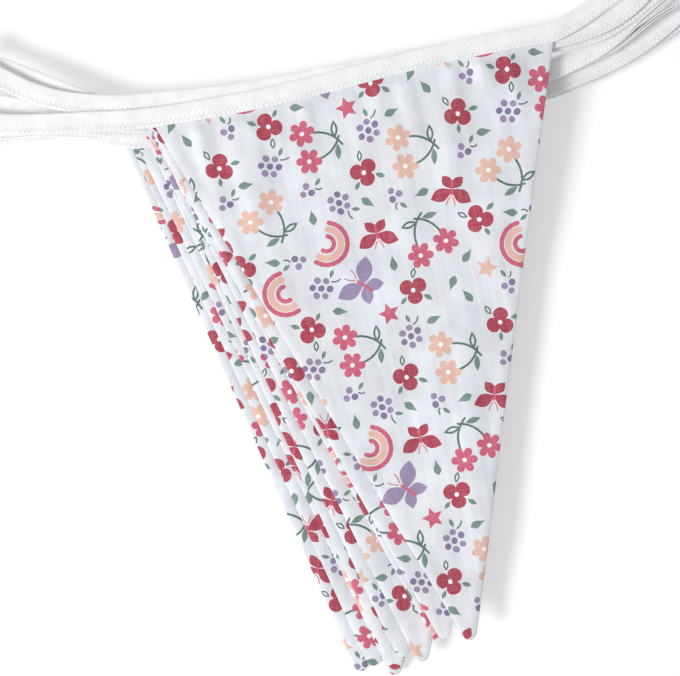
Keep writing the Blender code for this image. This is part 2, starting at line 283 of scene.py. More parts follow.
def run_of_tape(number):
    """Stations of one run from left to right: middle, direction across the tape, slot width."""
    us = np.linspace(-HALF_TOP - 6, HALF_TOP + 6, 29)  # it stays straight for 6 mm more
    straight = place(RUNS[number - 1], us, HALF_TAPE)
    left, left_z = free_path(number, "left", straight[0])
    right, right_z = free_path(number, "right", straight[-1])
    plan = np.concatenate([left[::-1], straight, right])
    for _ in range(4):  # cloth tape cannot bend sharply in its own plane
        plan[1:-1] = (plan[:-2] + 2 * plan[1:-1] + plan[2:]) / 4
        plan[len(left) + 1 : len(plan) - len(right) - 1] = straight[1:-1]
    z = np.concatenate([left_z[::-1], np.full(len(straight), held_height(number)), right_z])
    slot = np.full(len(plan), SLOT_SHUT)
    slot[len(left) : len(plan) - len(right)] = SLOT_HELD
    roll = np.zeros(len(plan))
    if number in ROLL:
        knots = through(list(enumerate((0, *ROLL[number], 0))), 2)[1:]
        roll[-len(right) : -1] = np.radians(np.clip(knots[:, 1], 0, 80))
    tangent = unit(np.gradient(plan, axis=0))
    down = np.stack([tangent[:, 1], -tangent[:, 0], np.zeros(len(plan))], -1)
    across = down * np.cos(roll)[:, None] + (0, 0, 1) * np.sin(roll)[:, None]
    return np.concatenate([plan, z[:, None]], 1), across, slot


def turn_back(start, end, before):
    """The half circle from one run's end to the start of the next, outwards along the tape."""
    out = (start - before) * (1, 1, 0)
    out /= np.linalg.norm(out)
    angle = np.arange(1, BEND_STEPS)[:, None] * math.pi / BEND_STEPS
    radius = np.linalg.norm(start - end) / 2
    return (start + end) / 2 + (start - end) / 2 * np.cos(angle) + radius * out * np.sin(angle)


def tape_stations():
    """The whole tape, from the front run's free end to the back run's."""
    middle, across, slot = run_of_tape(1)
    for number in range(2, COUNT + 1):
        m, a, s = run_of_tape(number)
        if number % 2 == 0:
            m, a, s = m[::-1], a[::-1], s[::-1]
        bend = turn_back(middle[-1], m[0], middle[-2])
        part = np.arange(1, BEND_STEPS)[:, None] / BEND_STEPS
        middle = np.concatenate([middle, bend, m])
        across = np.concatenate([across, across[-1] * (1 - part) + a[0] * part, a])
        slot = np.concatenate([slot, np.full(BEND_STEPS - 1, SLOT_SHUT), s])
    return middle, across, slot


def frames(middle, across):
    """Unit vectors along, across and out of the tape at every station."""
    along = unit(np.gradient(middle, axis=0))
    across = unit(across - (across * along).sum(1)[:, None] * along)
    return along, across, np.cross(across, along)


PARTS = 5  # of each step between stations
OPENING = range(-6, 7, 2)  # the slot is averaged over these distances, as it opens gradually

middle, across, slot = tape_stations()
fine = finer(np.column_stack([middle, across, slot]), PARTS)
tape_middle = fine[:, :3]
_, tape_across, tape_out = frames(tape_middle, fine[:, 3:6])
tape_far = distances(tape_middle)
spread = np.array([np.interp(tape_far + n, tape_far[::PARTS], slot) for n in OPENING])
tape_slot = np.minimum(SLOT_SHUT + 1.3 * (spread.mean(0) - SLOT_SHUT), SLOT_HELD)
TAPE_LENGTH = tape_far[-1]
print("tape", round(TAPE_LENGTH), "mm long,", len(tape_middle), "stations")

# %% [markdown]
# ## How the cloths pile up
# A cloth simulation of nine thin layers would take long and still let them cut through
# each other. A height map does it directly: each pennant takes the heights below it,
# bridges the steps as cloth does, and is then added to the map for the next one. The
# map is read through a smooth kernel, so the cloth has no facets.

# %% Height map
X0, Y0, CELL, NX, NY = -205.0, -195.0, 1.5, 280, 275
SLOPE = 0.42  # steepest that a pennant hangs over the edge of those below
PASSES = 45  # cells that a cone of that slope needs to fall from the top of the pile
WIDEN = 6  # cells that the cones are widened by each way


def eased(field):
    """The field as cloth lies on it: a cone of SLOPE under every point, widened, then averaged."""
    steps = [(1, 0, 1.0), (-1, 0, 1.0), (0, 1, 1.0), (0, -1, 1.0)]
    steps += [(1, 1, 1.414), (1, -1, 1.414), (-1, 1, 1.414), (-1, -1, 1.414)]
    result = field
    for _ in range(PASSES):
        for dx, dy, far in steps:
            result = np.maximum(result, np.roll(result, (dy, dx), (0, 1)) - SLOPE * CELL * far)
    for axis in (0, 1):
        result = np.max([np.roll(result, n, axis) for n in range(-WIDEN, WIDEN + 1)], axis=0)
    for reach in (2, 3):
        for axis in (0, 1):
            result = np.mean([np.roll(result, n, axis) for n in range(-reach, reach + 1)], axis=0)
    return result


def read_map(field, plan):
    """The field at plan points: sixteen cells around each, weighted by a cubic spline."""
    spot = np.clip((plan - (X0, Y0)) / CELL, 2, (NX - 4, NY - 4))
    cell = spot.astype(int)
    f = spot - cell
    near, next_one = 3 * f**3 - 6 * f**2 + 4, -3 * f**3 + 3 * f**2 + 3 * f + 1
    weight = np.stack([(1 - f) ** 3, near, next_one, f**3]) / 6
    total = 0
    for a in range(4):
        for b in range(4):
            share = weight[a][..., 0] * weight[b][..., 1]
            total = total + share * field[cell[..., 1] + b - 1, cell[..., 0] + a - 1]
    return total


def add_to_map(field, plan, z):
    """Raises the four cells round each plan point to at least its height."""
    cell = np.floor((plan - (X0, Y0)) / CELL).astype(int).reshape(-1, 2)
    for dx in (0, 1):
        for dy in (0, 1):
            np.maximum.at(field, (cell[:, 1] + dy, cell[:, 0] + dx), z.reshape(-1))


# %% [markdown]
# ## Thickness, seams and folds
# The rolled seam is the first thing that tells sewn pennants from paper ones: the edge is
# round, full for 3 mm, and falls to the plain double cloth by 8 mm. It isn't even, so its
# fullness wanders a little and small puckers cross it. The front cloth also keeps a few
# soft folds, and under the tape it is gathered slightly, which leaves short puffs.

# %% Cloth section
EDGE, UNDER = 3.0, 0.45  # the side is rounded over this width; share of it on the underside


def section(number, u, v):
    """Full and real thickness: cloth plus the seam's roll, times a quarter ellipse at the edge."""
    side, sewn = from_side(u, v), smooth((v - FREE_FROM) / 12)
    crest = 1 + 0.30 * waves(v, 40 * np.tanh(u / 6), 40 + number, 17.0)
    roll = (1 - smooth((side - BEAD_CREST) / (BEAD_FOOT - BEAD_CREST))) * sewn
    pucker = 0.10 * waves(v, side * 0.35, 60 + number, 5.0, 2)
    pucker = pucker * np.exp(-(((side - 4.5) / 3.0) ** 2))
    full = CLOTH + (BEAD - CLOTH) * roll * crest + pucker * sewn
    edge = np.clip(np.minimum(side, 2 * (v - TOP)) / EDGE, 0, 1)
    return full, full * np.sqrt(np.clip(1 - (1 - edge) ** 2, 0, 1))


def relief(number, u, v):
    """Height of the cloth's own folds over what it lies on, never below 0."""
    total = 0.35 * (1 + waves(u, v * 0.6, 70 + number, 60.0)) * smooth((v - FREE_FROM) / 30)
    if number > 1:
        return 0.5 * total
    for at, slope, start, end, wide, high in FOLDS:
        along = smooth((v - start) / 25) * smooth((end - v) / 40)
        off = (u - at - slope * (v - start)) / wide
        total = total + high * along * np.exp(-off * off)
    ripple = 0.70 * (1 + waves(u + 0.12 * v, v * 0.40, 9, 26.0))
    return total + ripple * smooth((v - 20) / 20) * smooth(from_side(u, v) / 14)


def gathers(u, v):
    """Puffs of cloth just below the tape: rounded waves along it, dying out in a few centimetres."""
    puffs = np.clip(0.7 + 1.2 * waves(u, v * 0.15, 5, 15.0, 2), 0, None) ** 1.3
    start, fade = smooth((v - TAPE - 0.5) / 6), np.exp(-np.clip(v - 15, 0, None) / 22)
    return 1.25 * puffs * start * fade * smooth(from_side(u, v) / 12)


def lower_face(number, u, v):
    """Plan and height of a pennant's underside: the eased map, raised to the tape near its top."""
    plan = place(RUNS[number - 1], u, v)
    rest = read_map(beds[number], plan) + relief(number, u, v)
    held = held_height(number) - CLOTH / 2
    z = rest + (held - rest) * (1 - smooth((v - HELD_TO) / 30))
    return plan, z + gathers(u, v) if number == 1 else z


# %% [markdown]
# ## From the lowest to the front
# Each cloth takes its bed from the map and is put on it with a hair of room, and then its
# upper face and its tape's are added. Every step prints how clear it is of those below.

# %% Piling up
SAMPLE = 0.75  # between the points that are added to the map
across_cut, down_cut = np.meshgrid(np.arange(-106, 106.1, SAMPLE), np.arange(TOP, TIP, SAMPLE))
on_cloth = from_side(across_cut, down_cut) > 0
across_cut, down_cut = across_cut[on_cloth], down_cut[on_cloth]
strip = np.linspace(-HALF_TAPE, HALF_TAPE, 11)[None, :, None]
heights, beds = np.zeros((NY, NX)), {}
for number in range(COUNT, 0, -1):
    beds[number] = eased(np.where(heights > 0, heights + GAP + 0.1, 0.0))
    plan, z = lower_face(number, across_cut, down_cut)
    short = (read_map(heights, plan) - z)[down_cut > 11].max()
    add_to_map(heights, plan, z + section(number, across_cut, down_cut)[0])
    m, a, s = run_of_tape(number)
    fine = finer(np.column_stack([m, a, s]), 8)
    m, s = fine[:, :3], fine[:, 6:]
    _, a, out = frames(m, fine[:, 3:6])
    lift = out * np.sign(out[:, 2:]) * (s / 2 + WALL)
    surface = m[:, None] + a[:, None] * strip + lift[:, None]
    add_to_map(heights, surface[..., :2], surface[..., 2])
    print("pennant", number, "least clearance", round(-short, 2), "pile", round(heights.max(), 1))

# %% [markdown]
# ## The print
# A ditsy print: three-lobed flowers, daisies in pairs on a sprig, bunches of dots,
# rainbows, butterflies, stars and loose leaves on a pale ground. It is a repeat of our
# own. Each motif is a few closed outlines from short formulas, which are later cut into
# the cloth's own mesh, so that the print stays sharp where a picture would blur.

# %% Inks and outlines
INKS = {
    "ground": (222, 223, 227), "white": (244, 242, 243), "crimson": (170, 59, 77),
    "rose": (201, 92, 116), "peach": (224, 181, 164), "lilac": (151, 133, 166),
    "mauve": (128, 111, 149), "sage": (111, 137, 128), "moss": (84, 111, 103),
}
INK_NAMES = list(INKS)
screen = np.array(list(INKS.values())) / 255  # turned into light by the sRGB curve
INK_COLOURS = np.where(screen > 0.04045, ((screen + 0.055) / 1.055) ** 2.4, screen / 12.92)


def turning(degrees):
    """The matrix that turns rows of points by that angle."""
    c, s = heading(degrees)
    return np.array([[c, s], [-s, c]])


def blade(x, y, length, width, degrees, belly=0.5, n=8):
    """A pointed leaf: half width = sine of the way along, bent so that it is widest at belly."""
    t = np.linspace(0, 1, n)
    half = width / 2 * np.sin(math.pi * t ** (math.log(0.5) / math.log(belly)))
    way = heading(degrees)
    side = np.array([-way[1], way[0]])
    line = np.array([x, y]) + t[:, None] * length * way
    return np.concatenate([line - half[:, None] * side, (line + half[:, None] * side)[-2:0:-1]])


def dot(x, y, radius, n=10):
    """A circle, a touch uneven as hand-drawn dots are."""
    t = np.arange(n) * 2 * math.pi / n
    r = radius * (1 + 0.05 * np.sin(2 * t + x))
    return np.stack([x + r * np.cos(t), y + r * np.sin(t)], -1)


def lobed(x, y, radius, petals, depth, degrees=90, n=8):
    """A flower outline: the radius falls by depth between petals, as a power of a cosine."""
    t = np.arange(petals * n) * 2 * math.pi / (petals * n)
    r = radius * (1 - depth + depth * np.abs(np.cos(petals / 2 * t)) ** 0.65)
    t = t + math.radians(degrees)
    return np.stack([x + r * np.cos(t), y + r * np.sin(t)], -1)


def stroke(path, width):
    """A brush line along the path, with round ends."""
    path = np.asarray(path, float)
    way = unit(np.gradient(path, axis=0))
    side = np.stack([-way[:, 1], way[:, 0]], -1) * width / 2
    turn = np.radians([45, 90, 135])[:, None]
    end = path[-1] - side[-1] * np.cos(turn) + way[-1] * width / 2 * np.sin(turn)
    start = path[0] + side[0] * np.cos(turn) - way[0] * width / 2 * np.sin(turn)
    return np.concatenate([path - side, end, (path + side)[::-1], start])


def stem(x0, y0, x1, y1, bulge, width=0.95, n=7):
    """A brush line from point to point that bows to one side by bulge."""
    a, b = np.array([x0, y0], float), np.array([x1, y1], float)
    t = np.linspace(0, 1, n)[:, None]
    off = np.array([a[1] - b[1], b[0] - a[0]]) / np.linalg.norm(b - a)
    return stroke(a + (b - a) * t + off * bulge * 4 * t * (1 - t), width)


def hoop(radius, width, n=13):
    """One band of a rainbow: a half circle with its feet a little longer."""
    t = np.radians(np.linspace(-12, 192, n))
    return stroke(np.stack([radius * np.cos(t), radius * np.sin(t)], -1), width)


def hollow_leaf(x, y, length, width, degrees):
    """An open leaf: a blade of ink with a smaller one of the ground in it."""
    inner = np.array([x, y]) + 0.2 * length * heading(degrees)
    return [("moss", blade(x, y, length, width, degrees)),
            ("ground", blade(*inner, 0.6 * length, 0.42 * width, degrees))]


# %% [markdown]
# ## Motifs and repeat
# A motif is a list of inks and outlines, the lowest first. The repeat is a table of spots
# and angles, scattered so that no rows show. On real cloth a roller prints it over and
# over, and here the outlines are copied.

# %% Motifs
EYE = 1.15  # radius of a flower's white middle


def posy():
    """A three-lobed flower with a white eye and three leaves."""
    shapes = [("sage", blade(0.5, 5.0, 4.6, 2.1, 80)), ("sage", blade(5.0, -2.2, 5.2, 2.4, -18))]
    shapes += hollow_leaf(-4.6, -3.2, 5.6, 2.7, 232)
    return shapes + [("crimson", lobed(0, 0, 7.1, 3, 0.54, -90, 14)), ("white", dot(0, 0.3, EYE))]


def sprig(ink):
    """Two daisies on crossing stems, with one open and one solid leaf."""
    shapes = [("moss", stem(-6.6, 1.5, 2.2, -11.6, -2.2, 1.1)),
              ("moss", stem(6.8, 1.0, -2.2, -10.6, 2.0, 1.1))]
    shapes += hollow_leaf(-1.6, -8.6, 8.6, 3.6, 186) + [("sage", blade(1.4, -9.4, 8.0, 3.0, 8))]
    for x, y, turn in ((-7.2, 6.8, 80), (7.0, 6.0, 100)):
        shapes += [(ink, lobed(x, y, 6.5, 6, 0.44, turn)), ("white", dot(x, y, EYE))]
    return shapes


def bunch(spots, ring):
    """Dots round a centre, or three together, with a stem and a leaf."""
    shapes = []
    for i in range(spots):
        a = heading(90 + 360 * i / spots) * ring
        shapes.append(("lilac" if i % 3 else "mauve", dot(a[0], a[1], 1.75 - 0.12 * (i % 2))))
    if ring > 3:
        shapes.append(("mauve", dot(0, 0, 1.65)))
    reach = ring + 2.3
    stalk = stem(0.55 * reach, 0.75 * reach, 0.75 * reach, 1.35 * reach, 0.5, 0.75)
    return shapes + [("moss", stalk), ("sage", blade(0.80 * reach, 0.62 * reach, 4.6, 2.0, 15))]


def rainbow():
    """Three bands: thin rose, broad peach, rose."""
    return [(ink, hoop(r, w) - (0, 3.5)) for ink, r, w in
            (("rose", 10.4, 2.3), ("peach", 7.2, 3.2), ("rose", 3.7, 2.2))]


def butterfly(ink, size):
    """Four pointed wings, a slim body and two feelers."""
    wings = ((-0.08, 0.05, 1.26, 0.68, 27), (0.08, 0.05, 1.26, 0.68, 153),
             (-0.06, 0.05, 0.88, 0.50, -48), (0.06, 0.05, 0.88, 0.50, 228))
    shapes = []
    for *sizes, degrees in wings:
        x, y, length, width = (value * size for value in sizes)
        shapes.append((ink, blade(x, y, length, width, degrees, 0.56, 13)))
    body = np.array([(0, -0.38), (0, -0.1), (0, 0.32)]) * size
    shapes.append(("rose", stroke(body, 0.11 * size)))
    for side in (-1, 1):
        root, end = (side * 0.05 * size, 0.44 * size), (side * 0.22 * size, 0.84 * size)
        shapes.append(("rose", stem(*root, *end, -0.03 * side * size, 0.5)))
    return shapes


def star(ink):
    """Five points: the radius goes from large to small and back, ten times in all."""
    t = np.arange(10) * math.pi / 5 + math.pi / 2
    r = np.where(np.arange(10) % 2 == 0, 5.6, 2.6)
    return [(ink, np.stack([r * np.cos(t), r * np.sin(t)], -1))]


# %% Repeat
MOTIF, SPREAD = 1.03, 1.04  # scales of the motifs, and of the distances between them
REPEAT_WIDTH, REPEAT_HEIGHT = 118.0 * SPREAD, 102.0 * SPREAD
REPEAT = (  # the shapes, then where they are: x, y and angle
    (bunch(6, 4.3), ((51, 13, 240), (1, 19, 285), (30, 44, 0), (13, 83, 285))),
    (bunch(3, 2.4), ((94, 33, 285), (16, 35, 300), (57, 46, 30), (5, 68, 135), (103, 101, 225))),
    ([("sage", blade(-4, 0, 8.2, 3.8, 0, 0.66, 10))],
     ((64, 7, 165), (106, 26, 180), (44, 47, 225), (16, 48, 90), (70, 48, 345), (110, 66, 15),
      (50, 78, 90), (86, 82, 135), (20, 96, 195), (76, 94, 300), (82, 101, 60))),
    (butterfly("lilac", 12.0), ((34, 86, 135),)),
    (butterfly("crimson", 9.5), ((85, 49, 15), (45, 62, 0))),
    (posy(), ((95, 15, 15), (45, 32, 45), (95, 66, 345), (57, 93, 60), (4, 102, 225))),
    (rainbow(), ((23, 64, 300), (110, 83, 75))),
    (sprig("peach"), ((71, 27, 90), (113, 46, 150))),
    (sprig("rose"), ((26, 14, 90), (69, 69, 345))),
    (star("peach"), ((94, 90, 60),)),
    (star("rose"), ((43, 102, 315),)),
)


def repeat_outlines():
    """Every outline of one repeat, as ink number and points, each motif turned and set in place."""
    found = []
    for shapes, spots in REPEAT:
        for x, y, degrees in spots:
            turn, spot = turning(degrees) * MOTIF, (x * SPREAD, y * SPREAD)
            for ink, outline in shapes:
                found.append((INK_NAMES.index(ink), outline @ turn + spot))
    return found


outlines = repeat_outlines()
print("one repeat has", len(outlines), "outlines,", sum(len(o) for _, o in outlines), "points")


# %% [markdown]
# ## Cutting the print into the cloth
# A Delaunay triangulation takes points and closed outlines and gives triangles that respect
# every outline. Its points are the pennant's edge, rows that follow the rolled seam, a
# honeycomb of points over the rest, and the motifs. Each triangle then belongs to one ink.

# %% Pattern pieces
ROWS = (0.12, 0.35, 0.7, 1.1, 1.9, 3.0, 4.3, 5.9, 7.8)  # from the side, where the roll bends most
TOP_ROWS = (0.12, 0.35, 0.8, 1.6)  # from the top end
FINE, COARSE, FINE_TO = 2.3, 3.6, 62.0  # honeycombs; the front cloth's gathers end by there


def honeycomb(step, low, high):
    """Points of a honeycomb between two values of v."""
    u, v = np.meshgrid(np.arange(-108, 108, step), np.arange(low, high, step * 0.866))
    u[1::2] += step / 2
    return np.stack([u.ravel(), v.ravel()], -1)


def cut_points(fine):
    """The outline of the cut, then loose points inside it."""
    side = np.array([math.cos(SLANT), math.sin(SLANT)])  # out of the right-hand side
    start, end = np.array([HALF_TOP, TOP]), np.array([0, TIP_CENTRE]) + TIP_RADIUS * side
    t = np.linspace(0, 1, 210)[:, None]
    right = start + (end - start) * t
    normal = np.broadcast_to(side, right.shape)
    angle = np.linspace(SLANT, math.pi - SLANT, 12)[1:-1]
    arc_normal = np.stack([np.cos(angle), np.sin(angle)], -1)
    arc = np.array([0, TIP_CENTRE]) + TIP_RADIUS * arc_normal
    left, left_normal = right[::-1] * (-1, 1), normal[::-1] * (-1, 1)
    edge = np.concatenate([right, arc, left])
    outward = np.concatenate([normal, arc_normal, left_normal])
    top = np.stack([np.linspace(-HALF_TOP, HALF_TOP, 71)[1:-1], np.full(69, TOP)], -1)
    inner = [edge - row * outward for row in ROWS]
    inner = [p[np.abs(from_side(*p.T) - row) < 1e-3] for p, row in zip(inner, ROWS)]
    inner = np.concatenate(inner)
    inner = inner[inner[:, 1] > TOP + 0.06]
    rows = np.concatenate([top + (0, row) for row in TOP_ROWS])
    rows = rows[from_side(*rows.T) > 1.0]
    rest = np.concatenate([honeycomb(fine, TOP + 2.4, FINE_TO), honeycomb(COARSE, FINE_TO, TIP)])
    rest = rest[from_side(*rest.T) > 9.0]
    return np.concatenate([edge, top]), np.concatenate([inner, rows, rest])


def printed_cut(crop, degrees, fine):
    """Triangulates one pennant with the print: points u, v, triangles and the ink of each."""
    edge, loose = cut_points(fine)
    turn = turning(degrees)
    points, faces, inks = [edge, loose], [list(range(len(edge)))], [0]
    count = len(edge) + len(loose)
    for i in range(-3, 4):
        for j in range(-5, 5):
            shift = (i * REPEAT_WIDTH + crop[0], j * REPEAT_HEIGHT + crop[1])
            for ink, outline in outlines:
                spot = (outline + shift) @ turn
                if (from_side(*spot.T) > 0).any() and (spot[:, 1] > TOP).any():
                    points.append(spot)
                    faces.append(list(range(count, count + len(spot))))
                    inks.append(ink)
                    count += len(spot)
    points = np.concatenate(points)
    # 1 keeps what is inside the outlines; points nearer than the last number are one
    result = delaunay_2d_cdt([Vector(p) for p in points.tolist()], [], faces, 1, 1e-5, True)
    triangles, owners = result[2], result[5]
    kept = [(t, max(o)) for t, o in zip(triangles, owners) if 0 in o and len(t) == 3]
    flat = np.array([p[:] for p in result[0]])
    triangles = np.array([t for t, _ in kept])
    used, triangles = np.unique(triangles, return_inverse=True)
    return flat[used], triangles.reshape(-1, 3), np.array(inks)[[o for _, o in kept]]


# %% [markdown]
# ## From cut to cloth
# The flat triangles become a pennant's upper face and, turned over, its underside. Both
# share the points of the edge, so the cloth is a closed shell. Every corner keeps its ink,
# and every point its place on the flat cloth, so that threads follow the folds.

# %% Pennant mesh
BAKE_SPAN = 335.0  # both faces of a pennant lie next to each other on a square this wide


def new_piece(name, points, faces, material):
    """Puts millimetre points and faces into a mesh object of the frame, in metres."""
    mesh = bpy.data.meshes.new(name)
    mesh.from_pydata((points + SHIFT) * MM, [], faces)
    mesh.polygons.foreach_set("use_smooth", np.full(len(mesh.polygons), True))
    mesh.materials.append(material)
    mesh.update()
    piece = add_object(name, mesh)
    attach(piece, "root")
    return piece


def note_cloth(piece, places):
    """Stores the place of every point on its flat cloth, for the weave."""
    cloth = piece.data.attributes.new("cloth", "FLOAT_VECTOR", "POINT")
    cloth.data.foreach_set("vector", places.astype(np.float32).ravel())


def pennant(number, crop, degrees, material):
    """Both faces of one pennant: underside z and underside z + thickness, joined at the edge."""
    flat, triangles, inks = printed_cut(crop, degrees, FINE if number == 1 else COARSE)
    u, v = flat.T
    full, thick = section(number, u, v)
    on_edge = np.minimum(from_side(u, v), v - TOP) < 2e-3
    thick[on_edge] = 0
    plan, bottom = lower_face(number, u, v)
    bottom = bottom + UNDER * (full - thick)
    count = len(u)
    below = np.where(on_edge, np.arange(count), count + np.cumsum(~on_edge) - 1)
    upper = np.column_stack([plan, bottom + thick])
    lower = np.column_stack([plan, bottom])[~on_edge]
    triangles = triangles[:, ::-1]  # v runs down, so they would face down
    faces = np.concatenate([triangles, below[triangles[:, ::-1]]])
    points = np.concatenate([upper, lower])
    piece = new_piece(f"printed_pennant_{number}", points, faces.tolist(), material)
    ink = piece.data.color_attributes.new("ink", "FLOAT_COLOR", "CORNER")
    colours = np.ones((len(faces) * 3, 4), np.float32)
    colours[:, :3] = np.repeat(INK_COLOURS[np.concatenate([inks, inks])], 3, axis=0)
    ink.data.foreach_set("color", colours.ravel())
    places = np.column_stack([u, v, np.full(count, 10.0 * number)])  # threads differ by number
    note_cloth(piece, np.concatenate([places, places[~on_edge]]))
    layout = piece.data.uv_layers.new(name="OFBake")
    front = (np.column_stack([u + 108, v + 2]) / BAKE_SPAN)[triangles].reshape(-1, 2)
    back = (np.column_stack([u + 220, 300 - v]) / BAKE_SPAN)[triangles[:, ::-1]].reshape(-1, 2)
    layout.uv.foreach_set("vector", np.concatenate([front, back]).astype(np.float32).ravel())
    return piece


# %% [markdown]
# ## Cotton
# Three finishes are needed. The printed cotton is a plain weave: threads about a third of
# a millimetre apart, a few of them thicker, and ink that sits in the weave, so it is never
# quite even. The binding is the same sort of cotton in white, cut on the bias, and the
# sewing thread is white too. A picture of cloth would blur, so the weave comes from sines
# and noise. A small class lets shader maths be written as ordinary sums.

# %% Shader helper
class Wire:
    """A socket that can be added to and multiplied; each sign makes a Math node."""

    def __init__(self, finish, socket):
        self.finish, self.socket = finish, socket

    def apply(self, operation, *others):
        return self.finish.node("Math", dict(enumerate((self, *others))), operation=operation)

    def __add__(self, other):
        return self.apply("ADD", other)

    def __sub__(self, other):
        return self.apply("SUBTRACT", other)

    def __mul__(self, other):
        return self.apply("MULTIPLY", other)

    def sine(self):
        return self.apply("SINE")

    def size(self):
        return self.apply("ABSOLUTE")


class Finish:
    """A material with one Principled shader, whose nodes all come from node()."""

    def __init__(self, name, **plain):
        self.material = bpy.data.materials.new(name)
        self.material.use_nodes = True
        self.tree = self.material.node_tree
        self.shader = self.tree.nodes["Principled BSDF"]
        for socket, value in plain.items():
            self.shader.inputs[socket.replace("_", " ")].default_value = value

    def fill(self, socket, value):
        if isinstance(value, Wire):
            self.tree.links.new(value.socket, socket)
        else:
            socket.default_value = value

    def node(self, kind, sockets, out=0, **settings):
        """A node of that kind, its settings first, then its sockets; gives one output."""
        node = self.tree.nodes.new("ShaderNode" + kind)
        for key, value in settings.items():
            setattr(node, key, value)
        for key, value in sockets.items():
            self.fill(node.inputs[key], value)
        return Wire(self, node.outputs[out])

    def noise(self, spot, scale, detail=2.0):
        return self.node("TexNoise", {"Vector": spot, "Scale": scale, "Detail": detail})

    def stretched(self, spot, scale):
        return self.node("Mapping", {"Vector": spot, "Scale": scale})

    def mixed(self, factor, first, second, kind="MIX"):
        """Two colours by a factor."""
        return self.node("Mix", {0: factor, 6: first, 7: second}, 2, data_type="RGBA", blend_type=kind)

    def coloured(self, base, red, green, blue):
        """Gives the shader the base colour times a tint of those three parts."""
        tint = self.node("CombineColor", {0: red, 1: green, 2: blue})
        self.fill(self.shader.inputs["Base Color"], self.mixed(1.0, base, tint, "MULTIPLY"))

    def raised(self, height, strength):
        """Bumps the surface by that height, in parts of 0.6 mm."""
        sockets = {"Strength": strength, "Distance": 0.6 * MM, "Height": height}
        self.fill(self.shader.inputs["Normal"], self.node("Bump", sockets))


def across_and_down(finish, spot):
    """The first two parts of a vector, each on a wire of its own."""
    parts = finish.node("SeparateXYZ", {0: spot})
    return parts, Wire(finish, parts.socket.node.outputs[1])


def weave(finish, spot, pitch, turn=0.0):
    """Height of a plain weave: the product of two crossing sines, and slubs along both ways."""
    turned = finish.node("Mapping", {"Vector": spot, "Rotation": (0, 0, math.radians(turn))})
    x, y = across_and_down(finish, turned)
    wave = 2 * math.pi / pitch
    threads = (x * wave).sine() * (y * wave).sine()
    warp = finish.noise(finish.stretched(turned, (1.6, 0.10, 1)), 1.0)
    weft = finish.noise(finish.stretched(turned, (0.10, 1.6, 1)), 1.0)
    return threads, warp, weft


# %% [markdown]
# ## What varies over the cloth
# Cotton isn't one white. It has large pale patches, partly painted shade of soft folds, and
# streaks along the threads, the ink is thinner where a thread stands up, and a needle leaves
# small holes, darkened with painted shade. All of this feeds the colour and the bump, and
# the rest of each shader is a plain value.

# %% Finishes
SEAM = 3.1  # middle of the stitching, from the tape's middle towards its open edge
STITCH, SWING, THREAD, HOLE = 2.4, 1.0, 0.17, 0.34  # repeat, half width, thread and hole radius
FIRST_STITCH = 0.6  # from the tape's end
FACE_MARK = 12.0  # added to a place across the tape, whose sign then tells the two faces
THREAD_PITCH = 0.62  # from one raised thread of the cotton to the next
INK_WEAR = (0.80, 0.81, 0.84, 1)  # colour that shows where the ink is thin
FUZZ = dict(Sheen_Weight=0.15, Sheen_Roughness=0.6)


def printed_cotton():
    """Ink from the mesh, thinned a little along the threads, over a mottled cool ground whose large
    pale patches are partly painted shade of soft folds.
    """
    finish = Finish("printed cotton", Roughness=0.86, Specular_IOR_Level=0.25, **FUZZ)
    spot = finish.node("Attribute", {}, 1, attribute_name="cloth")
    ink = finish.node("Attribute", {}, attribute_name="ink")
    threads, warp, weft = weave(finish, spot, THREAD_PITCH)
    # large patches of tone, which also stand in as painted shade of soft folds
    patches_and_fold_shade = finish.noise(spot, 0.055, 3.0)
    tint = finish.noise(spot, 0.022) * 0.05
    base = finish.mixed((warp + weft - 0.90) * 0.30, ink, INK_WEAR)
    streak = finish.noise(finish.stretched(spot, (0.30, 0.018, 1)), 1.0)
    shade = patches_and_fold_shade * 0.44 + streak * 0.26 + threads * 0.018 + 0.68
    finish.coloured(base, shade * 0.965 + tint, shade, shade * 1.03 - tint)
    finish.raised(threads * 0.03 + warp * 0.16 + weft * 0.12, 0.35)
    return finish.material


def needle_holes(finish, spot):
    """1 in the holes at a zigzag's corners: near its line, and near a quarter turn of its wave."""
    far, marked = across_and_down(finish, spot)
    turn = ((far - FIRST_STITCH) * (2 * math.pi / STITCH)).sine()
    off = (marked.size() - FACE_MARK - turn * SWING - SEAM).size()
    return off.apply("LESS_THAN", HOLE) * (turn * turn).apply("GREATER_THAN", 0.86)


def white_cotton(name, colour, pitch, turn, strength, sewn=False):
    """Plain white cotton: a weave with slubs, a little uneven in tone, with painted shade in its
    needle holes.
    """
    finish = Finish(name, Roughness=0.82, Specular_IOR_Level=0.28, **FUZZ)
    spot = finish.node("Attribute", {}, 1, attribute_name="cloth")
    threads, warp, weft = weave(finish, spot, pitch, turn)
    blotch = finish.noise(spot, 0.09, 4.0)
    shade = (warp + weft) * 0.08 + blotch * 0.30 + threads * 0.02 + 0.76
    height = threads * 0.05 + warp * 0.2 + weft * 0.2
    if sewn:
        wrinkle, holes = finish.noise(spot, 0.38), needle_holes(finish, spot)
        # painted shade darkens the needle holes, which are also pressed in as small dimples
        shade, height = shade - holes * 0.42, height + wrinkle * 1.1 - holes * 0.6
    finish.coloured((*colour, 1), shade, shade, shade)
    finish.raised(height, strength)
    return finish.material


cotton = printed_cotton()
binding = white_cotton("white binding cotton", (0.89, 0.90, 0.905), THREAD_PITCH, 45, 0.4, True)
thread = white_cotton("white sewing thread", (0.93, 0.93, 0.93), 0.20, 60, 0.3)
print("finishes", [m.name for m in (cotton, binding, thread)])

# %% [markdown]
# ## Nine pennants from one cloth
# To save cloth, flags are cut nose to tail, so every second one has its print the other
# way up, and each shows another part of the repeat. One function makes all nine.

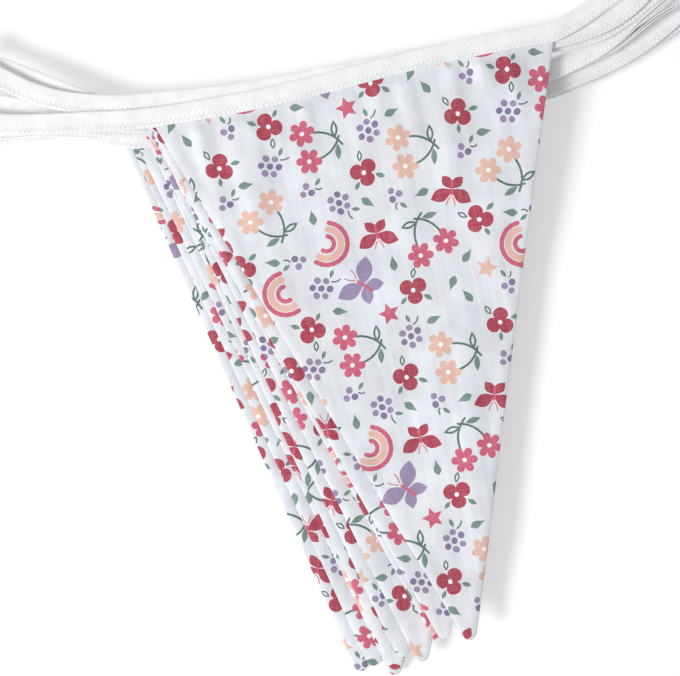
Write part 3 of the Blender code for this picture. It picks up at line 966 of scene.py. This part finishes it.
# %% Nine pennants
CROPS = (  # shift of the print across and down, and its turn
    (-51, 20, 0), (-7, 71, 180), (-29, 8, 0), (29, 40, 180), (7, 55, 0),
    (-47, 90, 180), (36, 12, 0), (-19, 30, 180), (16, 84, 0),
)
pennants = []
for number, (*crop, degrees) in enumerate(CROPS, 1):
    piece = pennant(number, crop, degrees, cotton)
    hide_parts(f"pennant_{number}")
    pennants.append(piece)
    print(piece.name, len(piece.data.polygons), "triangles")


# %% [markdown]
# ## Binding
# Bias binding is folded lengthwise, with its raw edges turned in, so each open edge is
# soft and round. Its section, a long narrow U, is carried along the tape's path. The seam
# draws it in onto the pennant, and the cloth between two stitches stands up a little.

# %% Binding
LEG_POINTS = (HALF_TAPE, 4.85, 4.4, 3.9, 3.4, 2.9, 2.4, 1.6, 0.2, -1.4, -3.0)  # open edge first
INNER_POINTS = (HALF_TAPE, 3.4, 0.2, -3.6)


def pinch(x, slot):
    """How much the open edge is drawn in onto the pennant: all beyond 4 mm, nothing before 1 mm."""
    return np.clip(slot / 2 - CLOTH / 2 - 0.06, 0, None) * smooth((x - 1.0) / 3)


def tape_section(far, slot):
    """Outline of the U at every station, its outside and then its inside: legs and a round fold."""
    far, slot = far[:, None], slot[:, None]
    legs, turn = np.array(LEG_POINTS), np.linspace(0, math.pi, 7)
    x = np.concatenate([legs, FOLD - HALF_TAPE - np.sin(turn), legs[::-1]])
    side = np.concatenate([-np.ones(len(legs)), -np.cos(turn), np.ones(len(legs))])
    edge = np.clip((HALF_TAPE - x) / 0.35, 0, 1)
    seam = np.exp(-((x - SEAM) ** 2))
    pucker = 0.07 * waves(far, x * 1.5 + 50 * side, 3, 6.5, 2) * (1 - 0.5 * seam)
    pucker = np.clip(pucker + 0.06 * waves(far, 30 * side, 8, 3.1, 1) * seam, -0.14, 0.14)
    wall = WALL * (0.45 + 0.55 * np.sqrt(1 - (1 - edge) ** 2)) - 0.16 * seam + pucker
    outer = side * (slot / 2 - pinch(x, slot) + np.where(np.abs(side) > 0.999, wall, WALL))
    x_in = np.array([*INNER_POINTS, FOLD - HALF_TAPE, *INNER_POINTS[::-1]])
    side_in = np.sign(np.arange(len(x_in)) - len(INNER_POINTS))
    inner = side_in * (slot / 2 - pinch(x_in, slot) + 0.06 * (x_in > 4.9))
    return np.concatenate([x, x_in[::-1]]), np.concatenate([outer, inner[:, ::-1]], axis=1)


def tube_faces(stations, ring, first=0):
    """Quads between the rings of points at all stations, and one face over each end."""
    index = np.arange(stations * ring).reshape(stations, ring) + first
    beside = np.roll(index, -1, 1)
    quads = np.stack([index[:-1], beside[:-1], beside[1:], index[1:]], -1).reshape(-1, 4)
    return quads.tolist() + [index[0, ::-1].tolist(), index[-1].tolist()]


def fold_binding():
    """The tape: its section's outline carried along the path, with a face at both ends."""
    x, y = tape_section(tape_far, tape_slot)
    points = tape_middle[:, None] + tape_across[:, None] * x[:, None]
    points = points + tape_out[:, None] * y[..., None]
    stations, ring = y.shape
    faces = tube_faces(stations, ring)
    piece = new_piece("folded_binding", points.reshape(-1, 3), faces, binding)
    flat = np.broadcast_arrays(tape_far[:, None], (x + FACE_MARK) * np.sign(y), 0.0)
    note_cloth(piece, np.stack(flat, -1))
    return piece


tape = fold_binding()
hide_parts("binding_tape")
print(tape.name, len(tape.data.polygons), "faces")

# %% [markdown]
# ## Stitching
# The binding is closed with a narrow zigzag. Each stitch is a short straight piece of
# thread that dives into a needle hole at both ends, on both faces of the tape. It is one
# fine tube: a triangle wave across the tape, high in mid-stitch and sunk at its corners.

# %% Zigzag
LIFT = 0.10  # of the thread in mid-stitch, and its depth at a corner
RING = 4  # sides of the thread


def along_tape(far, table):
    """The rows of a table of the tape's stations, read at other distances along it."""
    return np.stack([np.interp(far, tape_far, column) for column in table.T], -1)


def zigzag(side):
    """Points of one face's thread: quarter steps of a triangle wave, lifted between needle holes."""
    far = np.arange(FIRST_STITCH, TAPE_LENGTH - FIRST_STITCH, STITCH / 4)
    swing = np.array([0, 1, 0, -1])[np.arange(len(far)) % 4] * SWING
    lift = np.where(np.arange(len(far)) % 2 == 0, LIFT, -LIFT)
    middle, sideways, out = (along_tape(far, t) for t in (tape_middle, tape_across, tape_out))
    slot = np.interp(far, tape_far, tape_slot)
    height = side * (slot / 2 - pinch(SEAM + swing, slot) + WALL - LIFT + lift)
    path = middle + sideways * (SEAM + swing)[:, None] + out * height[:, None]
    _, up, flank = frames(path, out)
    ring = THREAD * np.stack([up, -flank, -up, flank], 1)
    return (path[:, None] + ring).reshape(-1, 3)


upper_thread, lower_thread = zigzag(1), zigzag(-1)
count = len(upper_thread)
points = np.concatenate([upper_thread, lower_thread])
faces = tube_faces(count // RING, RING) + tube_faces(count // RING, RING, count)
stitching = new_piece("zigzag_stitching", points, faces, thread)
note_cloth(stitching, points)
print(stitching.name, len(stitching.data.polygons), "faces")

# %% [markdown]
# ## What each pennant lies on
# For each pennant the names of what lies under it are listed: the next pennant and the tape.

# %% Sheets
for number, piece in enumerate(pennants, 1):
    under = [pennants[number].name] if number < COUNT else []
    under + [tape.name]

# %% [markdown]
# ## Table and light
# The table glows a little, so that shadows on it stay pale, and the surround is pale too.
# One soft window light stands at the left, about as high as it is far away: light from
# one side is what shows folds and seams.

# %% Stage
REACH, TABLE = 3.0, -0.0004  # half the table's width, and its top just below the cloth
WINDOW, WINDOW_SIZE, WINDOW_POWER = (-1.46, -0.55, 1.50), 0.65, 30.0

corners = [(x * REACH, y * REACH, TABLE) for x, y in ((-1, -1), (1, -1), (1, 1), (-1, 1))]
floor_mesh = bpy.data.meshes.new("table_top")
floor_mesh.from_pydata(corners, [], [(0, 1, 2, 3)])
floor = add_object("table_top", floor_mesh)
floor_finish = Finish("light table", Base_Color=(0.80, 0.80, 0.80, 1), Roughness=0.9,
                      Specular_IOR_Level=0.1, Emission_Color=(1, 1, 1, 1), Emission_Strength=0.27)
floor_mesh.materials.append(floor_finish.material)

world = bpy.data.worlds.new("pale room")
bpy.context.scene.world = world
world.use_nodes = True
sky = world.node_tree.nodes["Background"]
sky.inputs["Color"].default_value = (0.97, 0.98, 1.0, 1)
sky.inputs["Strength"].default_value = 0.60
bpy.context.scene.view_settings.view_transform = "Standard"  # so that white stays white

lamp = bpy.data.lights.new("window", "AREA")
lamp.shape, lamp.size, lamp.energy = "DISK", WINDOW_SIZE, WINDOW_POWER
light = add_object("window", lamp)
light.location = WINDOW
light.rotation_euler = (-Vector(WINDOW)).to_track_quat("-Z", "Y").to_euler()
print("window", round(Vector(WINDOW).length, 2), "m away")
